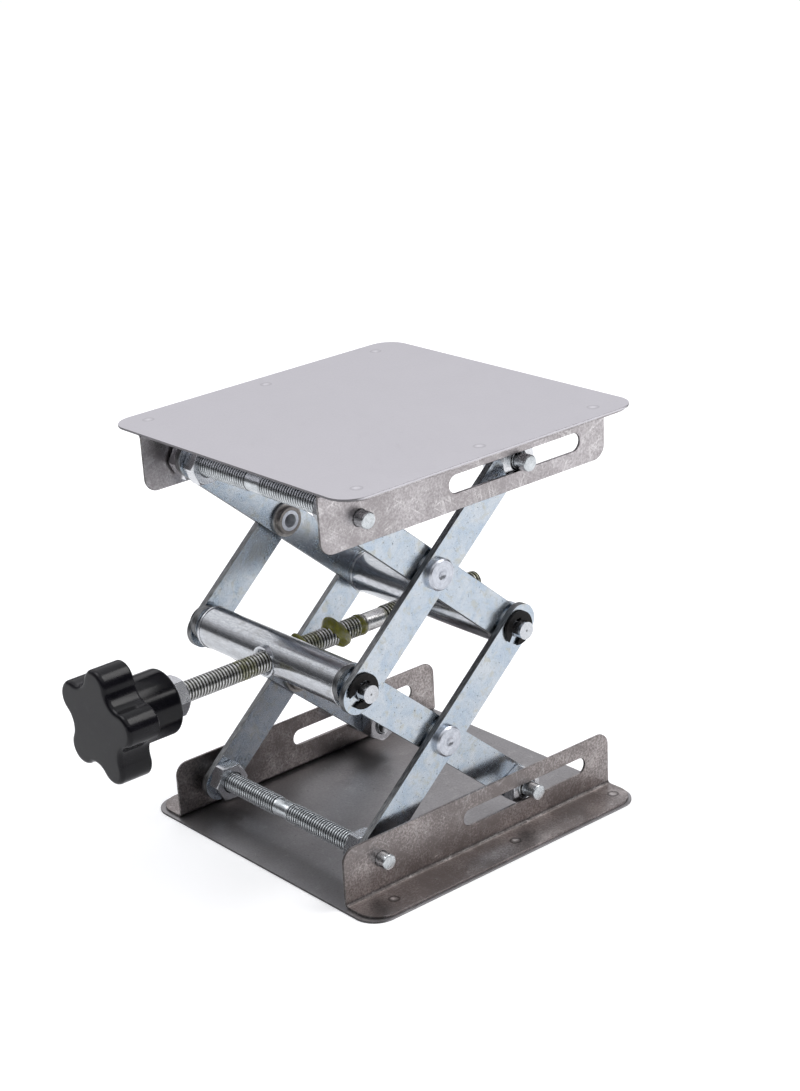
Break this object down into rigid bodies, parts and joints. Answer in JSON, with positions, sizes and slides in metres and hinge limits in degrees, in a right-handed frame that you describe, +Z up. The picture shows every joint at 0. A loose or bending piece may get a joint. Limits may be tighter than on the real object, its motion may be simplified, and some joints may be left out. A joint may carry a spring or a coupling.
{
  "type": "lab jack",
  "caption": "Benchtop scissor lab jack: a top plate on crossed steel arms, raised and lowered by a threaded spindle with a star-shaped hand knob.",
  "frame": {"origin": "centre of the base plate's underside", "axes": "+Z up, the drive screw runs along Y with the knob at -Y, X across the jack"},
  "size_m": [0.101, 0.1486, 0.1185],
  "materials": {
    "plate": "satin coated steel sheet",
    "rail": "satin coated steel sheet, scratched",
    "arm": "zinc plated steel strip",
    "bar": "polished zinc plated steel",
    "thread": "bright zinc plated threads",
    "nut": "bright zinc plated",
    "rivet": "satin zinc plated",
    "clip": "black phosphated spring steel",
    "knob": "black moulded plastic, satin"
  },
  "bodies": {
    "base": {"base_plate": "plate", "base_rail_left": "rail", "base_rail_right": "rail", "base_pivot_rod": "thread", "base_pivot_nuts": "nut"},
    "lower_outer_arms": {"lower_outer_arm_left": "arm", "lower_outer_arm_right": "arm", "lower_centre_rivets": "rivet", "lower_centre_washers": "nut", "lower_rivet_collars": "rivet"},
    "lower_inner_arms": {"lower_inner_arm_left": "arm", "lower_inner_arm_right": "arm", "base_slide_pins": "thread", "base_slide_outer_nuts": "nut", "base_slide_inner_nuts": "nut"},
    "rear_crossbar": {"rear_crossbar": "bar", "rear_crossbar_clips": "clip", "rear_crossbar_washers": "nut", "rear_spacer_washers": "nut"},
    "upper_inner_arms": {"upper_inner_arm_left": "arm", "upper_inner_arm_right": "arm"},
    "upper_outer_arms": {"upper_outer_arm_left": "arm", "upper_outer_arm_right": "arm", "upper_centre_rivets": "rivet", "upper_centre_washers": "nut", "upper_rivet_collars": "rivet", "top_slide_pins": "thread", "top_slide_washers": "nut", "top_slide_nuts": "nut"},
    "platform": {"top_plate": "plate", "top_rail_left": "rail", "top_rail_right": "rail", "top_pivot_rod": "thread", "top_pivot_outer_nuts": "nut", "top_pivot_inner_nuts": "nut"},
    "front_crossbar": {"front_crossbar": "bar", "front_crossbar_clips": "clip", "front_crossbar_washers": "nut", "front_spacer_washers": "nut"},
    "screw_carrier": {"knob_jam_nut": "nut"},
    "drive_screw": {"drive_screw": "thread", "knob": "knob"}
  },
  "joints": [
    {"name": "lift", "type": "hinge", "parent": "base", "child": "lower_outer_arms", "pos_m": [0, -0.0365, 0.0107], "axis": [1, 0, 0], "range_deg": [-32.2, 22.6]},
    {"name": "lower_scissor", "type": "hinge", "parent": "lower_outer_arms", "child": "lower_inner_arms", "pos_m": [0, -0.00858, 0.03497], "axis": [1, 0, 0], "range_deg": [-45.2, 64.4]},
    {"name": "rear_bar_pivot", "type": "hinge", "parent": "lower_outer_arms", "child": "rear_crossbar", "pos_m": [0, 0.01935, 0.05925], "axis": [1, 0, 0], "range_deg": [-22.6, 32.2]},
    {"name": "upper_inner_pivot", "type": "hinge", "parent": "lower_outer_arms", "child": "upper_inner_arms", "pos_m": [0, 0.01935, 0.05925], "axis": [1, 0, 0], "range_deg": [-45.2, 64.4]},
    {"name": "upper_scissor", "type": "hinge", "parent": "upper_inner_arms", "child": "upper_outer_arms", "pos_m": [0, -0.00858, 0.08352], "axis": [1, 0, 0], "range_deg": [-64.4, 45.2]},
    {"name": "platform_pivot", "type": "hinge", "parent": "upper_inner_arms", "child": "platform", "pos_m": [0, -0.0365, 0.1078], "axis": [1, 0, 0], "range_deg": [-32.2, 22.6]},
    {"name": "front_bar_pivot", "type": "hinge", "parent": "lower_inner_arms", "child": "front_crossbar", "pos_m": [0, -0.0365, 0.05925], "axis": [1, 0, 0], "range_deg": [-32.2, 22.6]},
    {"name": "screw_travel", "type": "slide", "parent": "front_crossbar", "child": "screw_carrier", "axis": [0, 1, 0], "range_m": [-0.0083, 0.01183]},
    {"name": "knob_turn", "type": "hinge", "parent": "screw_carrier", "child": "drive_screw", "pos_m": [0, -0.00858, 0.05925], "axis": [0, 1, 0], "range_deg": [-4254.1, 2986]}
  ],
  "couplings": [
    {"joint": "lower_scissor", "follows": "lift", "ratio": -2},
    {"joint": "rear_bar_pivot", "follows": "lift", "ratio": -1},
    {"joint": "upper_inner_pivot", "follows": "lift", "ratio": -2},
    {"joint": "upper_scissor", "follows": "lift", "ratio": 2},
    {"joint": "platform_pivot", "follows": "lift", "ratio": 1},
    {"joint": "front_bar_pivot", "follows": "lift", "ratio": 1},
    {"joint": "screw_travel", "follows": "lift", "m_per_rad": -0.021029},
    {"joint": "knob_turn", "follows": "lift", "ratio": 132.1}
  ]
}
